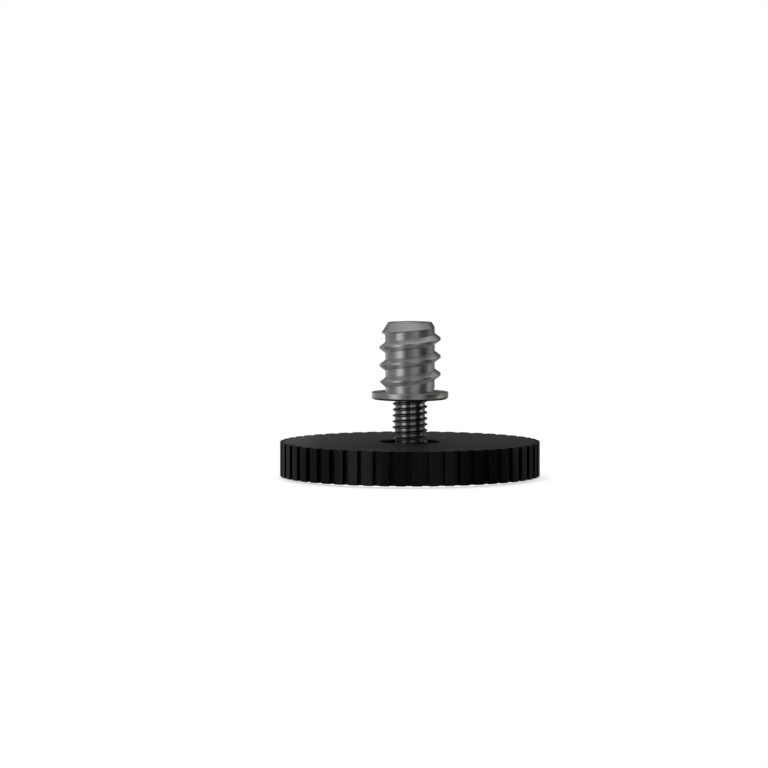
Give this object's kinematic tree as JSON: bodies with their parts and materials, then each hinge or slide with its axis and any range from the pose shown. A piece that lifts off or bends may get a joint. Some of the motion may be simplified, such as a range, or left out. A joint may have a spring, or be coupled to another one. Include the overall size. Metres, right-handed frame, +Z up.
{
  "type": "furniture levelling foot",
  "caption": "Adjustable furniture levelling foot: a fluted hand wheel turns a threaded stud in a screw-in insert above a foot plate that stays still on the floor.",
  "frame": {"origin": "centre of the foot's underside, on the floor and on the stud's axis", "axes": "+Z up along the stud towards the furniture, -Y towards the camera, +X to the camera's right"},
  "size_m": [0.044, 0.044, 0.0263],
  "materials": {
    "wheel_plastic": "satin black moulded plastic",
    "foot_plate_plastic": "matt black moulded plastic",
    "tread_rubber": "dull dark grey rubber",
    "washer_plastic": "natural off-white plastic",
    "stud_steel": "dark plated steel",
    "retainer_steel": "blackened spring steel",
    "insert_zinc": "bare die-cast zinc alloy"
  },
  "bodies": {
    "foot": {"foot_plate": "foot_plate_plastic", "tread_ring": "tread_rubber", "thrust_washer": "washer_plastic"},
    "wheel": {"hand_wheel": "wheel_plastic", "levelling_stud": "stud_steel", "retaining_washer": "retainer_steel"},
    "insert": {"threaded_insert": "insert_zinc"}
  },
  "joints": [
    {"name": "wheel_turn", "type": "hinge", "parent": "foot", "child": "wheel", "pos_m": [0, 0, 0.0016], "axis": [0, 0, -1], "range_deg": [-1980, 1440]},
    {"name": "insert_lift", "type": "slide", "parent": "foot", "child": "insert", "axis": [0, 0, 1], "range_m": [-0.0055, 0.004]}
  ],
  "couplings": [
    {"joint": "wheel_turn", "follows": "insert_lift", "rad_per_m": 6283.2}
  ]
}
